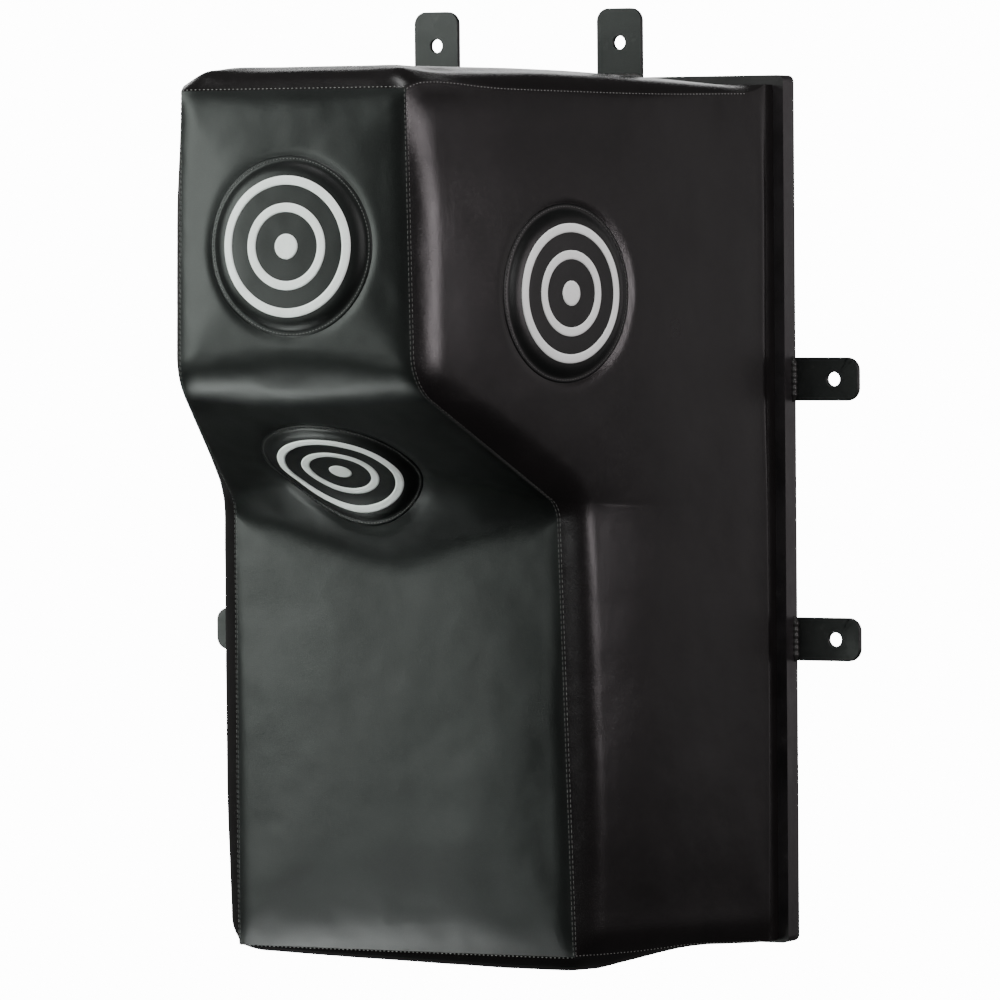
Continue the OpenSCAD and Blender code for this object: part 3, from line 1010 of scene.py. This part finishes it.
def sew_seams(panels, points):
    """Double rows of stitches down the front seams and single rows round the ends."""
    outward = point_normals(points, all_faces(panels))

    def sew(name, index, stitch, material, stop=None):
        line, facing = beside(points, outward, index, SEAM_INSET)
        add_stitches(name, line[:stop], facing[:stop], stitch, material)

    front = panels["front"]
    for side, index in (("left", front), ("right", front[:, ::-1])):
        sew("stitches_front_" + side, index, SEAM_STITCH, SEAM_THREAD)
        sew("stitches_side_" + side, panels[side], SEAM_STITCH, SEAM_THREAD)
    for name in ("top", "bottom"):
        sew("stitches_%s_front" % name, panels[name].T, END_STITCH, PALE_THREAD)
        for side in ("left", "right"):
            index = panels[side] if name == "top" else panels[side][::-1]
            title = "stitches_%s_%s" % (name, side)
            sew(title, index.T, END_STITCH, PALE_THREAD, -UNSTITCHED)


# ---- target patches ----

# Width of a patch's sewn-down border
PATCH_BORDER = 5 * MM

# Outer and inner radius of each printed ring, as shares of the patch's
RING_SHARES = ((0.78, 0.68), (0.48, 0.38), (0.14, 0.0))


def patch_height(away, radius):
    """Height of a patch over the cover: a sewn-down border and a puffed middle."""
    inside = radius - PATCH_BORDER - away
    return 0.9 * MM + 3.4 * MM * rise(inside, 24 * MM, 2.2) * (inside > 0)


def on_cover(target, tree, radii, turns, height):
    """A polar grid of points on the cover, lifted along the patch's direction."""
    clear_of_cover = 0.06
    grid = np.zeros((len(radii), len(turns), 3))
    for r, radius in enumerate(radii):
        for t, turn in enumerate(turns):
            flat = target.centre + radius * (math.cos(turn) * target.level + math.sin(turn) * target.upright)
            start = Vector(flat + target.outward * clear_of_cover)
            spot, _, _, _ = tree.ray_cast(start, Vector(-target.outward))
            grid[r, t] = np.array(spot) + target.outward * height[r]
    return grid


def add_round(name, upper, lower, closed_middle, material):
    """A closed form between an upper and a lower polar grid, as a disc or a ring."""
    rings, turns = upper.shape[:2]
    points = np.vstack([upper.reshape(-1, 3), lower.reshape(-1, 3)])
    top_no = np.arange(rings * turns).reshape(rings, turns)
    low_no = top_no + rings * turns

    def around(index):
        return np.hstack([index, index[:, :1]])

    faces = [*quads(around(top_no)), *quads(around(low_no), True)]
    faces += [*quads(around(np.vstack([top_no[-1], low_no[-1]])))]
    if closed_middle:
        faces.append(tuple(top_no[0]))
        faces.append(tuple(low_no[0][::-1]))
    else:
        faces += [*quads(around(np.vstack([low_no[0], top_no[0]])))]
    return add_mesh(name, points, faces, material)


def add_target(target, tree):
    """A padded round patch with its white rings and the stitches round its rim."""
    side, radius = target.side, target.radius
    turns = np.linspace(0, 2 * math.pi, 129)[:-1]
    # Closer together towards the rim, where the patch is curved
    radii = np.concatenate([
        [2 * MM], np.linspace(8 * MM, radius - 26 * MM, 10), np.linspace(radius - 23 * MM, radius, 14),
    ])
    height = patch_height(radii, radius)
    upper = on_cover(target, tree, radii, turns, height)
    upper[-1] -= target.outward * 0.5 * MM
    lower = on_cover(target, tree, radii, turns, np.full(len(radii), -1.0 * MM))
    patch = add_round("target_patch_" + side, upper, lower, True, PATCH_VINYL)
    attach(patch, "root")
    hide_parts("patch_" + side)

    for number, (outer, inner) in enumerate(RING_SHARES):
        add_ring(target, tree, turns, number + 1, outer * radius, inner * radius)

    sewn = radius - 2.6 * MM
    loop = np.linspace(0, 2 * math.pi, 257)
    height = patch_height(np.array([sewn]), radius) + 0.15 * MM
    line = on_cover(target, tree, [sewn], loop, height)[0]
    facing = np.tile(target.outward, (len(loop), 1))
    add_stitches("target_stitches_" + side, line, facing, PATCH_STITCH, SEAM_THREAD)


def add_ring(target, tree, turns, number, outer, inner):
    """A printed ring on a patch, or the disc in its middle if inner is 0."""
    count = 8
    band = np.linspace(max(inner, 1.0 * MM), outer, count)
    raised = patch_height(band, target.radius)
    edge = np.arange(count)[::-1]
    if inner > 0:
        edge = np.minimum(np.arange(count), edge)
    crown = 0.35 * MM + 0.35 * MM * rise(edge, 2.0)
    upper = on_cover(target, tree, band, turns, raised + crown)
    lower = on_cover(target, tree, band, turns, raised - 0.3 * MM)
    name = "target_ring_%s_%d" % (target.side, number)
    ring = add_round(name, upper, lower, inner == 0, RING_VINYL)
    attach(ring, "root")
    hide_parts("rings_" + target.side)


# ---- cover flaps behind the board ----

FLAP_WIDTH = 50 * MM


def add_flaps():
    """The cover's turned-in edges between the flange and the board, one to a side."""
    front = -BASE_DEPTH + 0.1 * MM
    back = -BASE_DEPTH + 1.4 * MM
    low_z, high_z = BOTTOM_BACK_Z + 3 * MM, TOP_BACK_Z - 5 * MM
    corners = {
        "left": ((-BASE_HALF, low_z), (-BASE_HALF, high_z)),
        "top": ((-BASE_HALF, high_z), (BASE_HALF, high_z)),
        "right": ((BASE_HALF, high_z), (BASE_HALF, low_z)),
        "bottom": ((BASE_HALF, low_z), (-BASE_HALF, low_z)),
    }
    for side, (start, end) in corners.items():
        start, end = np.array(start), np.array(end)
        along = unit(end - start)
        inward = np.array([along[1], -along[0]])
        steps, lanes = 80, 10
        points = []
        for layer in (front, back):
            for s in range(steps + 1):
                for w in range(lanes + 1):
                    deep = FLAP_WIDTH * w / lanes
                    wave = 1.2 * MM * noise.noise(Vector((s * 0.21, 3.3, deep)))
                    reach = mix(deep, np.linalg.norm(end - start) - deep, s / steps)
                    spot = start + along * reach + inward * (deep + wave * w / lanes)
                    points.append((spot[0], layer, spot[1]))
        first, second = np.arange(len(points)).reshape(2, steps + 1, lanes + 1)
        faces = list(quads(first)) + list(quads(second, True))
        faces += list(quads(np.vstack([first[0], second[0]]), True))
        faces += list(quads(np.vstack([first[-1], second[-1]])))
        faces += list(quads(np.vstack([first[:, 0], second[:, 0]])))
        faces += list(quads(np.vstack([first[:, -1], second[:, -1]]), True))
        flap = add_mesh("cover_flap_" + side, points, faces, SIDE_VINYL, smooth=False)
        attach(flap, "root")


# ---- weld beads ----

TABS = (
    "tab_top_left", "tab_top_right", "tab_left_upper", "tab_left_lower",
    "tab_right_upper", "tab_right_lower",
)
BEAD_STEPS = 40
BEAD_SIDES = 10


def bead_line(tab):
    """Where a tab's weld bead starts and ends, and the way out from the frame there."""
    low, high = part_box(tab)
    past = 1 * MM
    if "top" in tab:
        start = Vector((low.x - past, low.y, low.z))
        end = Vector((high.x + past, low.y, low.z))
        return start, end, Vector((0, 0, 1))
    side = 1 if "right" in tab else -1
    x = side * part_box("frame_right")[1].x
    start = Vector((x, low.y, low.z - past))
    end = Vector((x, low.y, high.z + past))
    return start, end, Vector((side, 0, 0))


def add_weld_beads():
    """A rippled bead along the front of each tab's root, in place of a plain fillet."""
    points, faces = [], []
    ahead = Vector((0, -1, 0))
    for number, tab in enumerate(TABS):
        start, end, out = bead_line(tab)
        faces += tube_faces(BEAD_STEPS + 1, BEAD_SIDES, len(points))
        for step in range(BEAD_STEPS + 1):
            share = step / BEAD_STEPS
            lump = 0.5 * MM * noise.noise(Vector((share * 5, number, 0)))
            ripple = 0.35 * MM * math.sin(share * 15 * math.pi) + lump
            tip = min(1, 6 * min(share, 1 - share) + 0.25)
            size = (3.6 * MM + ripple) * tip
            for n in range(BEAD_SIDES):
                turn = 2 * math.pi * n / BEAD_SIDES
                spot = start.lerp(end, share) + out * size * math.cos(turn) + ahead * size * math.sin(turn)
                points.append(spot + (out + ahead) * 0.4 * MM)
    beads = add_mesh("weld_beads", points, faces, WELD_PAINT)
    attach(beads, "root")
    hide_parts("tab_welds")


# ---- the CAD nodes that stay ----

def bevel_edges(node, width):
    """Softens a CAD node's sharp edges without touching its mesh."""
    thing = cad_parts[node]
    weld = thing.modifiers.new("join", "WELD")
    weld.merge_threshold = 0.01 * MM
    bevel = thing.modifiers.new("ease", "BEVEL")
    bevel.width = width
    bevel.segments = 3
    bevel.limit_method = "ANGLE"
    bevel.angle_limit = math.radians(40)
    bevel.harden_normals = True


def finish_nodes():
    """Gives the CAD nodes that stay their real finishes."""
    finishes = {
        "frame": FRAME_PAINT, "tab": TAB_PAINT, "backing": WOOD, "board": ZINC, "bolt": ZINC,
        "tee": ZINC, "flap": ZINC, "core": CORE_FOAM, "overhang": CORE_FOAM,
    }
    for name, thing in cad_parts.items():
        finish = finishes.get(name.split("_")[0])
        if finish is None or name == "tab_welds":
            continue
        thing.data.materials.clear()
        thing.data.materials.append(finish)
        if name.startswith(("frame", "tab")):
            bevel_edges(name, 1.0 * MM)


def add_floor():
    """A plain pale floor below the pad, which hangs on a wall."""
    level = cad_low.z - 0.22
    radius = 1.6
    turns = np.linspace(0, 2 * math.pi, 97)[:-1]
    rim = [(radius * math.cos(t), PAD_MIDDLE.y + radius * math.sin(t), level) for t in turns]
    floor = add_mesh("floor", rim, [range(len(rim))], FLOOR, smooth=False)
    floor.visible_glossy = floor.visible_diffuse = False


def build_cover():
    """Makes the sewn cover: flat panels, padding, cloth simulation, fine relief."""
    panels, points = flat_cover()
    points = pad_out(panels, points)
    points += iron(panels, inflate(points, all_faces(panels), sewn_down(panels)))
    panels, points = refine(panels, points)
    points = shape_finely(panels, points)
    outward = point_normals(points, all_faces(panels))
    for name, index in panels.items():
        add_pad(name, index, points, outward)
    sew_seams(panels, points)
    tree = BVHTree.FromPolygons(points.tolist(), all_faces(panels).tolist())
    for target in TARGETS:
        add_target(target, tree)


add_camera()
add_world()
add_lights()
add_floor()
build_cover()
add_flaps()
add_weld_beads()
finish_nodes()
